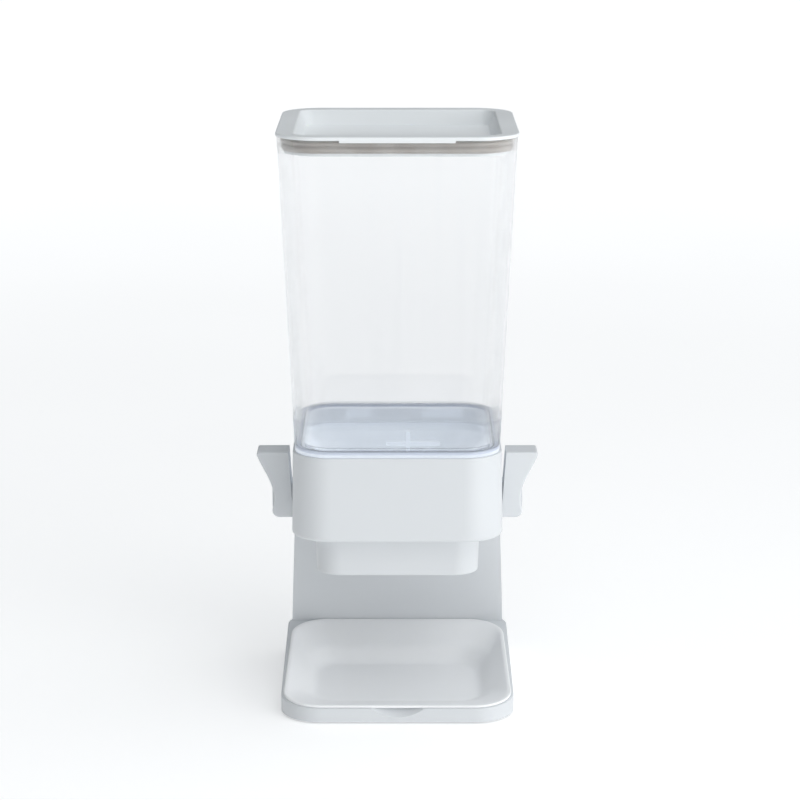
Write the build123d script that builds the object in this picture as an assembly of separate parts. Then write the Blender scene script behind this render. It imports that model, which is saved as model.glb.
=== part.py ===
"""Countertop cereal dispenser with a clear hopper, two press levers and a catch tray.

Millimetres, +Z up, X to the right, -Y towards the user. The origin is on the surface that the
feet stand on, below the middle of the base.
"""
import math
import os

from build123d import *

# ---- overall sizes -------------------------------------------------------------------------
TOTAL_HEIGHT = 425.0
BASE_WIDTH = 170.0
BASE_DEPTH = 170.0
BASE_RADIUS = 29.0
REAR_RADIUS = 14.0
BASE_FRONT_HEIGHT = 11.7
BASE_REAR_HEIGHT = 26.0
LID_WIDTH = 170.0
LID_RADIUS = 30.0

# ---- clearances ----------------------------------------------------------------------------
RUN_FIT = 0.05
LOOSE_FIT = 0.5
SLOT_PLAY = 0.3
SCREW_FIT = 0.1

# ---- stand ---------------------------------------------------------------------------------
FOOT_HEIGHT = 1.5
FOOT_RADIUS = 6.0
FOOT_SINK = 0.8
FOOT_INSET = 19.0
FOOT_EDGE = 0.4
BASE_EDGE = 0.9
PANEL_FOOT_THICK = 8.0
PANEL_SPOUT_GAP = 2.5
PANEL_OVERHANG = 2.0
PANEL_TOP_RADIUS = 20.0
PANEL_EDGE = 1.4
POCKET_MARGIN = 34.0
POCKET_BOTTOM = 20.0
POCKET_TOP_WALL = 10.0
POCKET_FRONT_WALL = 2.6
POCKET_LEDGE = 12.0
POCKET_END_LEDGE = 3.0
COVER_THICK = 2.0
COVER_GAP = 0.2
COVER_SCREW_INSET = 6.0
COVER_SCREW_DROP = 8.0
COVER_SCREW_SHANK = 4.8
COVER_SCREW_SPARE = 1.8
STAND_SCREW_X = (16.0, 46.0)
SCOOP_WIDTH = 39.0
SCOOP_DEPTH = 6.5
SCOOP_TILT = 38.0

# ---- casing --------------------------------------------------------------------------------
CASING_BOTTOM = 134.5
CASING_HEIGHT = 61.5
CASING_HALF_X = 75.0
CASING_HALF_Y = 77.5
CASING_FLARE = 1.0
CASING_RADIUS = 28.0
CASING_WALL = 2.4
CASING_FLOOR = 2.0
CASING_EDGE = 2.4
CASING_TOP_EDGE = 0.8

# ---- funnel --------------------------------------------------------------------------------
RIM_HEIGHT = 4.0
RIM_INSET = 1.6
RIM_EDGE = 0.8
FUNNEL_GAP = 1.6
FUNNEL_WALL = 2.0
FUNNEL_UPRIGHT = 15.0
THROAT_MARGIN = 22.5
THROAT_WALL = 1.8
THROAT_RADIUS = 6.0
THROAT_HEIGHT = 13.7
TAB_THICK = 1.2
TAB_HEIGHT = 6.5
TAB_CORNER = 1.5
TABS = ((-29.5, 19.0), (34.5, 31.0))
FLOW_BAR_WIDTH = 3.0
FLOW_BAR_HEIGHT = 9.0
FLOW_BAR_X = 7.8
FLOW_POST_DEPTH = 5.0
FLOW_POST_DROP = 3.0
FLOW_ARM_DROP = 9.5
FLOW_ARM_REACH = (-16.0, 24.0)

# ---- hopper --------------------------------------------------------------------------------
HOPPER_FOOT_INSET_X = 1.0
HOPPER_FOOT_INSET_Y = 2.0
LID_OVERHANG = 0.8
HOPPER_RADIUS = 29.0
HOPPER_WALL = 2.2
SPIGOT_LENGTH = 14.0
SPIGOT_WALL = 2.0
SHOULDER_THICK = 2.0

# ---- lid -----------------------------------------------------------------------------------
LID_FLANGE = 2.4
LID_EDGE = 1.0
LID_SKIN = 0.5
LID_RIM = 13.0
LID_PAN_DEPTH = 11.0
LID_PAN_SLOPE = 4.5
LID_PAN_RADIUS = 10.0
LID_WALL = 1.8
PLUG_DEPTH = 11.6
PLUG_WALL = 2.0
GASKET_THICK = 0.8
GASKET_RIB = 1.1
GASKET_HEIGHT = 8.5
GASKET_DROP = 1.0
GASKET_PLAY = 0.4
LIP_WIDTH = 80.0
LIP_THICK = 0.6
LIP_DROP = 1.6

# ---- spout ---------------------------------------------------------------------------------
SPOUT_MARGIN = 15.5
SPOUT_TAPER = 1.0
SPOUT_RADIUS = 18.0
SPOUT_WALL = 2.2
SPOUT_DROP = 30.5
SPOUT_FLANGE = 5.5
SPOUT_FLANGE_THICK = 2.0
SPOUT_EDGE = 0.8
SPOUT_SCREW_Y = 30.0
BEARING_WIDTH = 10.0
BEARING_UNDER = 2.0
BEARING_OVER = 0.8
BEARING_INSET = 0.2

# ---- levers and gates ----------------------------------------------------------------------
PIVOT_INSET = 5.0
PIVOT_HEIGHT = 9.5
PIN_RADIUS = 2.0
BOSS_RADIUS = 5.0
SHAFT_SPACING = 20.0
SHAFT_ANGLE = 25.0
CRANK_RADIUS = 7.0
PRESS_ANGLE = 8.5
DRIVE_PIN_RADIUS = 1.5
HUB_RADIUS = 3.6
GATE_THICK = 2.0
GATE_GAP = 0.5
GATE_MEET = 0.6
GATE_OVERLAP = 6.0
GATE_SINK = 0.4
GATE_END_PLAY = 1.0
SHAFT_END = 6.0
CHEEK_GAP = 0.6
CHEEK_THICK = 3.0
CRANK_THICK = 6.0
CRANK_WALL = 1.9
SLOT_DROP = 0.1
HOOK_INSIDE = 2.8
ARM_CLEAR_ANGLE = 4.0
ARM_BACK_STEP = 6.0
ARM_ROOT_ANGLE = 20.0
WEB_HIGH = 20.0
WEB_NECK_HIGH = 14.0
WEB_NECK_LOW = 7.0
WEB_LOW = 5.0
WEB_NECK = 3.0
WEB_SHOULDER = 2.0
FORK_ROOT = 2.0
LUG_THICK = 3.0
LUG_Y = 10.6
LUG_LENGTH = 8.0
LUG_OVER = 0.5
LUG_CORNER = 2.5
EAR_DEPTH = 23.0
EAR_WALL = 2.2
EAR_TOP_DROP = 12.5
EAR_SKIRT = 0.5
EAR_TOP_GAP = 5.0
EAR_BOTTOM_GAP = 1.6
EAR_TOP_WIDTH = 24.2
EAR_WAIST = 16.7
EAR_WAIST_HEIGHT = 26.0
EAR_FLARE = 21.4
EAR_FLARE_HEIGHT = 36.0
EAR_CORNER = 5.0
EAR_TIP = 2.0
EAR_EDGE = 1.2
EAR_BOTTOM_WIDTH = 18.2
WINDOW_PLAY = 1.0
WINDOW_BOTTOM = 2.6
WINDOW_HEADROOM = 3.0
WINDOW_CUT = 12.0
WINDOW_CORNER = 2.0
SPRING_WIRE = 0.4
SPRING_TURNS = 3.0
SPRING_PITCH = 1.0
SPRING_MEAN = 2.9
SPRING_LEG = 6.0

# ---- tray ----------------------------------------------------------------------------------
TRAY_INSET = 1.3
TRAY_NARROWING = 2.4
TRAY_REAR_GAP = 0.5
TRAY_WALL = 1.8
TRAY_LIP = 1.8
TRAY_FLOOR = 6.0
TRAY_GAP = 0.3
MOUTH_INSET = 2.6
MOUTH_PLAY = 0.7
BED_MARGIN_X = 24.0
BED_MARGIN_Y = 42.0
BED_CENTRE_Y = -14.0
BED_RADIUS = 18.0
STEP_OUT_X = 4.0
STEP_OUT_Y = 9.0
STEP_CENTRE_Y = -10.0
STEP_RISE = 2.5
WELL_MARGIN = 5.0
WELL_CENTRE_Y = -9.0
WELL_END_MARGIN = 32.0

# ---- screws --------------------------------------------------------------------------------
SCREW_RADIUS = 1.3
SCREW_HEAD = 2.4
SCREW_HEAD_HEIGHT = 1.6
SCREW_LENGTH = 8.0
SPOUT_SCREW_LENGTH = 3.8
DRIVE_RADIUS = 0.9
DRIVE_DEPTH = 0.9

# ---- levels worked out from the sizes above --------------------------------------------------
base_half = BASE_DEPTH / 2
casing_top = CASING_BOTTOM + CASING_HEIGHT
floor_top = CASING_BOTTOM + CASING_FLOOR
rim_top = casing_top + RIM_HEIGHT
hopper_low_half_x = CASING_HALF_X - HOPPER_FOOT_INSET_X
hopper_low_half_y = CASING_HALF_Y - HOPPER_FOOT_INSET_Y
hopper_high_half = LID_WIDTH / 2 - LID_OVERHANG
spout_half = CASING_HALF_X - SPOUT_MARGIN
throat_half = spout_half - THROAT_MARGIN
pivot_x = CASING_HALF_X - PIVOT_INSET
pivot_z = floor_top + PIVOT_HEIGHT
ear_top = casing_top - EAR_TOP_DROP
ear_bottom = CASING_BOTTOM - EAR_SKIRT
bed_half_x = BASE_WIDTH / 2 - BED_MARGIN_X
bed_half_y = base_half - BED_MARGIN_Y
funnel_bend = casing_top - FUNNEL_UPRIGHT
flange_low = TOTAL_HEIGHT - LID_FLANGE
pressed = math.radians(PRESS_ANGLE)
shaft_turn = math.radians(SHAFT_ANGLE)
drive_reach = SHAFT_SPACING + CRANK_RADIUS
gate_ratio = drive_reach / CRANK_RADIUS
shaft_x = pivot_x - SHAFT_SPACING * math.cos(shaft_turn)
shaft_z = pivot_z - SHAFT_SPACING * math.sin(shaft_turn)
drive_turn = shaft_turn - pressed / 2
drive_x = pivot_x - drive_reach * math.cos(drive_turn)
drive_z = pivot_z - drive_reach * math.sin(drive_turn)
gate_low = shaft_z + HUB_RADIUS - GATE_SINK
gate_top = gate_low + GATE_THICK
throat_low = gate_top + GATE_GAP
throat_bend = throat_low + THROAT_HEIGHT
half_arm = CRANK_THICK / 2 + CHEEK_GAP + CHEEK_THICK
incline = math.atan2(BASE_REAR_HEIGHT - BASE_FRONT_HEIGHT, BASE_DEPTH)
hopper_slope = (hopper_high_half - hopper_low_half_x) / (flange_low - rim_top)


def deck(y):
    """Height of the base's sloping top face at a distance y behind the middle."""
    return BASE_FRONT_HEIGHT + (y + base_half) * math.tan(incline)


def outline(half_x, half_y, radius, z, centre_y=0.0):
    """Rounded rectangle lying flat at height z."""
    return Pos(0, centre_y, z) * RectangleRounded(2 * half_x, 2 * half_y, radius)


def prism(half_x, half_y, radius, low, high, centre_y=0.0):
    """Upright block with a rounded-rectangle plan."""
    return extrude(outline(half_x, half_y, radius, low, centre_y), high - low, dir=(0, 0, 1))


def taper(low, high):
    """Solid between two outlines, with straight sides."""
    return loft([low, high], ruled=True)


def bar_y(x, z, radius, low_y, high_y):
    """Round bar along Y."""
    plane = Plane(origin=(x, low_y, z), x_dir=(1, 0, 0), z_dir=(0, 1, 0))
    return extrude(plane * Circle(radius), high_y - low_y)


def slab_y(points, low_y, high_y):
    """Plate with an outline in X and Z, between two values of y."""
    wire = Polyline([(x, low_y, z) for x, z in points], close=True)
    return extrude(make_face(wire), high_y - low_y, dir=(0, 1, 0))


def slab_x(points):
    """Wide plate with an outline in Y and Z that runs right across the object."""
    wire = Polyline([(-BASE_WIDTH, y, z) for y, z in points], close=True)
    return extrude(make_face(wire), 2 * BASE_WIDTH, dir=(1, 0, 0))


def screw(x, y, z, length):
    """Pan-head screw that points down, with its head standing on the level z."""
    shank = Pos(x, y, z - length / 2) * Cylinder(SCREW_RADIUS, length)
    head = Pos(x, y, z + SCREW_HEAD_HEIGHT / 2) * Cylinder(SCREW_HEAD, SCREW_HEAD_HEIGHT)
    drive = Pos(x, y, z + SCREW_HEAD_HEIGHT - DRIVE_DEPTH / 2) * Cylinder(DRIVE_RADIUS, DRIVE_DEPTH)
    return (shank + head) - drive


def both(shape):
    """The left-hand piece as made, and its mirror image for the right-hand side."""
    return shape, mirror(shape, about=Plane.YZ)


def save(shape, node):
    """Write one node as a STEP file."""
    shape.label = node
    export_step(shape, f"parts/{node}.step")


# ---- stand: wedge base and upright back in one moulding --------------------------------------
panel_top_half_x = CASING_HALF_X + CASING_FLARE + PANEL_OVERHANG
panel_top_half_y = CASING_HALF_Y + CASING_FLARE
panel_lean = math.atan2(base_half - panel_top_half_y, CASING_BOTTOM - FOOT_HEIGHT)
lean_at_deck = math.tan(panel_lean) * (BASE_REAR_HEIGHT - FOOT_HEIGHT)
panel_front_low = base_half - lean_at_deck - PANEL_FOOT_THICK
panel_front_high = spout_half + PANEL_SPOUT_GAP
tray_back = panel_front_low - TRAY_REAR_GAP
deck_plane = Plane(origin=(0, 0, deck(0)), x_dir=(1, 0, 0),
                   z_dir=(0, -math.sin(incline), math.cos(incline)))
pocket_half = BASE_WIDTH / 2 - POCKET_MARGIN
pocket_high = CASING_BOTTOM - FOOT_HEIGHT - POCKET_TOP_WALL
foot_places = [(sx * (BASE_WIDTH / 2 - FOOT_INSET), sy * (base_half - FOOT_INSET))
               for sx in (-1, 1) for sy in (-1, 1)]
stand_screw_places = [(side * x, (panel_front_high + panel_top_half_y) / 2)
                      for side in (-1, 1) for x in STAND_SCREW_X]
cover_screw_places = [(side * (pocket_half - COVER_SCREW_INSET), z) for side in (-1, 1)
                      for z in (POCKET_BOTTOM + COVER_SCREW_DROP, pocket_high - COVER_SCREW_DROP)]


def wedge(low_offset, high_offset):
    """Sheet between two planes that run parallel to the base's sloping top."""
    reach = BASE_DEPTH
    return slab_x([(-reach, deck(-reach) + low_offset), (reach, deck(reach) + low_offset),
                   (reach, deck(reach) + high_offset), (-reach, deck(-reach) + high_offset)])


def behind_front(inset):
    """Everything behind the flat front of the back panel, moved rearwards by inset."""
    slope = (panel_front_high - panel_front_low) / (CASING_BOTTOM - BASE_REAR_HEIGHT)

    def front(z):
        return panel_front_low + inset + slope * (z - BASE_REAR_HEIGHT)
    return slab_x([(front(0), 0), (BASE_DEPTH, 0), (BASE_DEPTH, TOTAL_HEIGHT),
                   (front(TOTAL_HEIGHT), TOTAL_HEIGHT)])


def make_base():
    """Sloping base block: wide corners at the front, tighter ones beside the back panel."""
    plan = Pos(0, 0, FOOT_HEIGHT) * Rectangle(BASE_WIDTH, BASE_DEPTH)
    plan = fillet(plan.vertices().sort_by(Axis.Y)[:2], BASE_RADIUS)
    plan = fillet(plan.vertices().sort_by(Axis.Y)[-2:], REAR_RADIUS)
    block = extrude(plan, 2 * BASE_REAR_HEIGHT, dir=(0, 0, 1)) - wedge(0, 2 * BASE_REAR_HEIGHT)
    return fillet(block.faces().sort_by(Axis.Z)[-1].edges(), BASE_EDGE)


def make_panel():
    """Back panel: narrows upwards, with a flat front that leans over the tray."""
    low = outline(BASE_WIDTH / 2, base_half, REAR_RADIUS, FOOT_HEIGHT)
    high = outline(panel_top_half_x, panel_top_half_y, PANEL_TOP_RADIUS, CASING_BOTTOM)
    panel = taper(low, high) & behind_front(0)
    front = panel.faces().sort_by(Axis.Y)[0]
    sides = [edge for edge in front.edges() if abs(edge.center().X) > panel_top_half_x / 2]
    return fillet(sides, PANEL_EDGE)


def leaning(shape):
    """Turn a piece drawn upright at the rear face so that it leans with the back."""
    return Pos(0, base_half, FOOT_HEIGHT) * Rot(math.degrees(panel_lean), 0, 0) * shape


def rear_plate(half_x, low, high, depth):
    """Plate set into the rear face from its surface down to a depth."""
    return leaning(Pos(0, -depth / 2, (low + high) / 2) * Box(2 * half_x, depth, high - low))


def tray_outline(inset, plane):
    """Tray's plan: a rounded square that narrows towards the back, on the given plane."""
    front_x = BASE_WIDTH / 2 - TRAY_INSET - inset
    back_x = front_x - TRAY_NARROWING
    front_y = -base_half + TRAY_INSET + inset
    back_y = tray_back - inset
    corners = Polyline((-front_x, front_y), (front_x, front_y), (back_x, back_y), (-back_x, back_y),
                       close=True)
    face = make_face(corners)
    return plane * fillet(face.vertices(), BASE_RADIUS - TRAY_INSET - inset)


def make_stand():
    body = make_base() + make_panel()
    well_floor = TRAY_FLOOR - TRAY_WALL - TRAY_GAP
    well_low = outline(bed_half_x + WELL_MARGIN, base_half - WELL_END_MARGIN, BED_RADIUS + WELL_MARGIN,
                       well_floor, WELL_CENTRE_Y)
    body -= taper(well_low, tray_outline(MOUTH_INSET, deck_plane))
    chord = SCOOP_WIDTH / 2
    lean = math.cos(math.radians(SCOOP_TILT))
    across = SCOOP_DEPTH * lean
    scoop_radius = (chord ** 2 + across ** 2) / (2 * across)
    scoop = Cylinder(scoop_radius, 4 * scoop_radius)
    centre_z = BASE_FRONT_HEIGHT + (scoop_radius - across) / lean
    body -= Pos(0, -base_half, centre_z) * Rot(SCOOP_TILT - 90, 0, 0) * scoop
    for x, y in foot_places:
        body -= Pos(x, y, FOOT_HEIGHT + FOOT_SINK / 2) * Cylinder(FOOT_RADIUS, FOOT_SINK)
    hollow = rear_plate(pocket_half - POCKET_LEDGE, POCKET_BOTTOM + POCKET_END_LEDGE,
                        pocket_high - POCKET_END_LEDGE, base_half)
    body -= hollow & behind_front(POCKET_FRONT_WALL)
    body -= rear_plate(pocket_half, POCKET_BOTTOM, pocket_high, COVER_THICK)
    depth = COVER_SCREW_SHANK + COVER_SCREW_SPARE
    for x, z in cover_screw_places:
        body -= leaning(Pos(x, -depth / 2, z) * Rot(90, 0, 0) * Cylinder(SCREW_RADIUS, depth))
    for x, y in stand_screw_places:
        body -= Pos(x, y, CASING_BOTTOM - SCREW_LENGTH / 2) * Cylinder(SCREW_RADIUS, SCREW_LENGTH)
    return body


def make_rear_cover():
    cover = rear_plate(pocket_half - COVER_GAP, POCKET_BOTTOM + COVER_GAP, pocket_high - COVER_GAP,
                       COVER_THICK)
    for x, z in cover_screw_places:
        through = Pos(x, -COVER_THICK / 2, z) * Rot(90, 0, 0)
        cover -= leaning(through * Cylinder(SCREW_RADIUS + SCREW_FIT, 2 * COVER_THICK))
        sink = Pos(x, -SCREW_HEAD_HEIGHT / 4, z) * Rot(90, 0, 0)
        cover -= leaning(sink * Cylinder(SCREW_HEAD + SCREW_FIT, SCREW_HEAD_HEIGHT / 2))
    return cover


def make_cover_screws():
    screws = []
    for x, z in cover_screw_places:
        shank = Pos(x, -COVER_SCREW_SHANK / 2, z) * Rot(90, 0, 0) * Cylinder(SCREW_RADIUS, COVER_SCREW_SHANK)
        head = Pos(x, -SCREW_HEAD_HEIGHT / 4, z) * Rot(90, 0, 0)
        head = head * Cylinder(SCREW_HEAD, SCREW_HEAD_HEIGHT / 2)
        drive = Pos(x, 0, z) * Rot(90, 0, 0) * Cylinder(DRIVE_RADIUS, DRIVE_DEPTH)
        screws.append(leaning((shank + head) - drive))
    return Compound(children=screws)


def make_feet():
    height = FOOT_HEIGHT + FOOT_SINK
    feet = []
    for x, y in foot_places:
        foot = Pos(x, y, height / 2) * Cylinder(FOOT_RADIUS, height)
        feet.append(chamfer(foot.edges().sort_by(Axis.Z)[0], FOOT_EDGE))
    return Compound(children=feet)


# ---- tray ------------------------------------------------------------------------------------
def dish(sink, spread):
    """Solid that fills the dish from its mouth down to the floor, lowered by sink and grown by spread."""
    step_x = bed_half_x + STEP_OUT_X + spread
    step_y = bed_half_y + STEP_OUT_Y + spread
    mouth = tray_outline(MOUTH_INSET + MOUTH_PLAY + TRAY_WALL - spread, deck_plane)
    step = outline(step_x, step_y, BED_RADIUS + STEP_OUT_X + spread, TRAY_FLOOR + STEP_RISE - sink,
                   STEP_CENTRE_Y)
    bed = outline(bed_half_x + spread, bed_half_y + spread, BED_RADIUS + spread, TRAY_FLOOR - sink,
                  BED_CENTRE_Y)
    return taper(step, mouth) + taper(bed, step)


def make_tray():
    plate = extrude(tray_outline(0, Plane.XY), 2 * BASE_REAR_HEIGHT) & wedge(0, TRAY_LIP)
    mouth = tray_outline(MOUTH_INSET + MOUTH_PLAY + TRAY_WALL, deck_plane)
    plate -= extrude(mouth, 2 * TRAY_LIP, both=True)
    return (plate + dish(TRAY_WALL, TRAY_WALL)) - dish(0, 0)


# ---- casing ----------------------------------------------------------------------------------
def casing_block(inset, low, high):
    """Casing's outer block between two heights, drawn in by inset."""
    def at(z):
        grow = CASING_FLARE * (casing_top - z) / CASING_HEIGHT
        return outline(CASING_HALF_X + grow - inset, CASING_HALF_Y + grow - inset,
                       CASING_RADIUS - inset, z)
    return taper(at(low), at(high))


wall_x = CASING_HALF_X + CASING_FLARE - CASING_WALL / 2
window_top = ear_top + WINDOW_HEADROOM
spout_corner = spout_half + SPOUT_FLANGE / 2
spout_screw_places = [(sx * x, sy * y) for sx in (-1, 1) for sy in (-1, 1)
                      for x, y in ((spout_corner, SPOUT_SCREW_Y), (SPOUT_SCREW_Y, spout_corner))]


def make_casing():
    body = casing_block(0, CASING_BOTTOM, casing_top)
    body = fillet(body.edges().group_by(Axis.Z)[0], CASING_EDGE)
    body = fillet(body.edges().group_by(Axis.Z)[-1], CASING_TOP_EDGE)
    body -= casing_block(CASING_WALL, floor_top, casing_top)
    body -= prism(spout_half + SLOT_PLAY, spout_half + SLOT_PLAY, SPOUT_RADIUS + SLOT_PLAY,
                  CASING_BOTTOM, floor_top)
    window_half = EAR_DEPTH / 2 + WINDOW_PLAY
    for side in (-1, 1):
        low = CASING_BOTTOM + WINDOW_BOTTOM
        window = Box(WINDOW_CUT, 2 * window_half, window_top - low)
        window = fillet(window.edges().filter_by(Axis.X), WINDOW_CORNER)
        body -= Pos(side * wall_x, 0, (low + window_top) / 2) * window
        for end in (-1, 1):
            lug_high = pivot_z + BOSS_RADIUS + LUG_OVER
            lug = Box(LUG_LENGTH, LUG_THICK, lug_high - floor_top)
            lug = fillet(lug.edges().filter_by(Axis.Y).group_by(Axis.Z)[-1], LUG_CORNER)
            y = end * (LUG_Y + LUG_THICK / 2)
            body += Pos(side * pivot_x, y, (lug_high + floor_top) / 2) * lug
        body -= bar_y(side * pivot_x, pivot_z, PIN_RADIUS, -LUG_Y - LUG_THICK, LUG_Y + LUG_THICK)
    for x, y in spout_screw_places:
        body -= Pos(x, y, floor_top - CASING_FLOOR / 2) * Cylinder(SCREW_RADIUS, CASING_FLOOR)
    for x, y in stand_screw_places:
        body -= Pos(x, y, floor_top - CASING_FLOOR / 2) * Cylinder(SCREW_RADIUS + SCREW_FIT, CASING_FLOOR)
    return body


# ---- funnel ----------------------------------------------------------------------------------
funnel_half_x = CASING_HALF_X - CASING_WALL - FUNNEL_GAP
funnel_half_y = CASING_HALF_Y - CASING_WALL - FUNNEL_GAP
funnel_radius = CASING_RADIUS - CASING_WALL - FUNNEL_GAP
throat_outer = throat_half + THROAT_WALL


def bowl(inset, throat_inset):
    """Sloping part of the funnel as a solid, drawn in by a wall."""
    upper = outline(funnel_half_x - inset, funnel_half_y - inset, funnel_radius - inset, funnel_bend)
    lower = outline(throat_outer - throat_inset, throat_outer - throat_inset, THROAT_RADIUS, throat_bend)
    return taper(lower, upper)


def make_funnel():
    rim_x = CASING_HALF_X - RIM_INSET
    rim_y = CASING_HALF_Y - RIM_INSET
    body = prism(rim_x, rim_y, CASING_RADIUS - RIM_INSET, casing_top, rim_top)
    body = fillet(body.edges().group_by(Axis.Z)[-1], RIM_EDGE)
    body += prism(funnel_half_x, funnel_half_y, funnel_radius, funnel_bend, casing_top)
    body += bowl(0, 0)
    body += prism(throat_outer, throat_outer, THROAT_RADIUS, throat_low, throat_bend)
    inside_x = funnel_half_x - FUNNEL_WALL
    inside_y = funnel_half_y - FUNNEL_WALL
    inside = prism(inside_x, inside_y, funnel_radius - FUNNEL_WALL, funnel_bend, rim_top)
    inside += bowl(FUNNEL_WALL, THROAT_WALL)
    inside += prism(throat_half, throat_half, THROAT_RADIUS, throat_low, throat_bend)
    body -= inside
    for x, width in TABS:
        tab = Box(width, TAB_THICK, TAB_HEIGHT)
        tab = fillet(tab.edges().filter_by(Axis.Y).group_by(Axis.Z)[0], TAB_CORNER)
        body += Pos(x, funnel_half_y + TAB_THICK / 2, casing_top - TAB_HEIGHT / 2) * tab
    return body


def make_flow_bar():
    """Bar across the bowl that rests on its slopes, with an upright finger and a cross arm."""
    top = throat_bend + FLOW_BAR_HEIGHT
    half = FLOW_BAR_WIDTH / 2
    bar = Pos(FLOW_BAR_X, 0, (top + throat_bend) / 2) * Box(
        FLOW_BAR_WIDTH, 2 * funnel_half_y, FLOW_BAR_HEIGHT)
    bar &= bowl(FUNNEL_WALL, THROAT_WALL)
    post_top = rim_top - FLOW_POST_DROP
    post = Pos(FLOW_BAR_X, 0, (top + post_top) / 2) * Box(FLOW_BAR_WIDTH, FLOW_POST_DEPTH, post_top - top)
    low, high = FLOW_ARM_REACH
    arm = Pos(FLOW_BAR_X + (low + high) / 2, 0, post_top - FLOW_ARM_DROP) * Rot(90, 0, 0) * extrude(
        SlotOverall(high - low, 2 * half), half, both=True)
    return bar + post + arm


# ---- hopper ----------------------------------------------------------------------------------
def make_hopper():
    def shell(inset, low, high):
        def at(z):
            share = (z - rim_top) / (flange_low - rim_top)
            half_x = hopper_low_half_x + share * (hopper_high_half - hopper_low_half_x) - inset
            half_y = hopper_low_half_y + share * (hopper_high_half - hopper_low_half_y) - inset
            return outline(half_x, half_y, HOPPER_RADIUS - inset, z)
        return taper(at(low), at(high))
    spigot_x = funnel_half_x - FUNNEL_WALL - LOOSE_FIT
    spigot_y = funnel_half_y - FUNNEL_WALL - LOOSE_FIT
    spigot_radius = funnel_radius - FUNNEL_WALL - LOOSE_FIT
    spigot_low = rim_top - SPIGOT_LENGTH
    body = shell(0, rim_top, flange_low)
    body -= shell(HOPPER_WALL, rim_top + SHOULDER_THICK, flange_low)
    body += prism(spigot_x, spigot_y, spigot_radius, spigot_low, rim_top)
    body -= prism(spigot_x - SPIGOT_WALL, spigot_y - SPIGOT_WALL, spigot_radius - SPIGOT_WALL,
                  spigot_low, rim_top + SHOULDER_THICK)
    return body


# ---- lid -------------------------------------------------------------------------------------
mouth_half = hopper_high_half - HOPPER_WALL - hopper_slope * PLUG_DEPTH
plug_half = mouth_half - GASKET_PLAY - GASKET_RIB - GASKET_THICK
plug_radius = HOPPER_RADIUS - HOPPER_WALL - GASKET_PLAY - GASKET_RIB - GASKET_THICK


def make_lid():
    half = LID_WIDTH / 2
    flange = prism(half, half, LID_RADIUS, flange_low, TOTAL_HEIGHT)
    flange = fillet(flange.edges().group_by(Axis.Z)[-1], LID_EDGE)
    pan_half = half - LID_RIM
    pan_low = TOTAL_HEIGHT - LID_PAN_DEPTH

    def pan(spread, low):
        return taper(outline(pan_half - LID_PAN_SLOPE + spread, pan_half - LID_PAN_SLOPE + spread,
                             LID_PAN_RADIUS - LID_PAN_SLOPE + spread, low),
                     outline(pan_half + spread, pan_half + spread, LID_PAN_RADIUS + spread, TOTAL_HEIGHT))
    plug = prism(plug_half, plug_half, plug_radius, flange_low - PLUG_DEPTH, flange_low)
    plug -= prism(plug_half - PLUG_WALL, plug_half - PLUG_WALL, plug_radius - PLUG_WALL,
                  flange_low - PLUG_DEPTH, flange_low)
    shell = pan(LID_WALL, pan_low - LID_WALL) & prism(half, half, LID_RADIUS, 0, TOTAL_HEIGHT - LID_SKIN)
    lip = Pos(0, -half + LIP_THICK / 2, flange_low - LIP_DROP / 2) * Box(LIP_WIDTH, LIP_THICK, LIP_DROP)
    return (flange + shell + plug + lip) - pan(0, pan_low)


def make_gasket():
    top = flange_low - GASKET_DROP
    low = top - GASKET_HEIGHT
    rib_height = GASKET_HEIGHT / 4

    def ring(outer, bottom, height):
        return prism(plug_half + outer, plug_half + outer, plug_radius + outer, bottom, bottom + height)
    body = ring(GASKET_THICK, low, GASKET_HEIGHT)
    for level in (low + rib_height / 2, top - 1.5 * rib_height):
        body += ring(GASKET_THICK + GASKET_RIB, level, rib_height)
    return body - ring(0, low, GASKET_HEIGHT)


# ---- spout -----------------------------------------------------------------------------------
def make_spout():
    low = CASING_BOTTOM - SPOUT_DROP

    def tube(inset):
        drawn = spout_half - SPOUT_TAPER - inset
        skirt = taper(outline(drawn, drawn, SPOUT_RADIUS - inset, low),
                      outline(spout_half - inset, spout_half - inset, SPOUT_RADIUS - inset, CASING_BOTTOM))
        return skirt + prism(spout_half - inset, spout_half - inset, SPOUT_RADIUS - inset,
                             CASING_BOTTOM, floor_top + SPOUT_FLANGE_THICK)
    flange_half = spout_half + SPOUT_FLANGE
    body = tube(0) + prism(flange_half, flange_half, SPOUT_RADIUS + SPOUT_FLANGE, floor_top,
                           floor_top + SPOUT_FLANGE_THICK)
    body = fillet(body.edges().group_by(Axis.Z)[0], SPOUT_EDGE)
    body -= tube(SPOUT_WALL)
    bearing_low = shaft_z - HUB_RADIUS - BEARING_UNDER
    bearing_high = shaft_z + HUB_RADIUS + BEARING_OVER
    bearing_half = spout_half - BEARING_INSET
    reach = gate_half_y + GATE_END_PLAY
    for sx in (-1, 1):
        for sy in (-1, 1):
            ends = (reach, spout_half)
            bearing = Pos(sx * shaft_x, sy * sum(ends) / 2, (bearing_low + bearing_high) / 2) * Box(
                BEARING_WIDTH, ends[1] - ends[0], bearing_high - bearing_low)
            body += bearing & prism(bearing_half, bearing_half, SPOUT_RADIUS, bearing_low, bearing_high)
        body -= bar_y(sx * shaft_x, shaft_z, PIN_RADIUS, -shaft_half, shaft_half)
    for x, y in spout_screw_places:
        body -= Pos(x, y, floor_top + SPOUT_FLANGE_THICK / 2) * Cylinder(
            SCREW_RADIUS + SCREW_FIT, SPOUT_FLANGE_THICK)
    return body


# ---- gates and their shafts ------------------------------------------------------------------
gate_half_y = throat_half + THROAT_WALL + GATE_OVERLAP
shaft_half = gate_half_y + SHAFT_END


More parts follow.
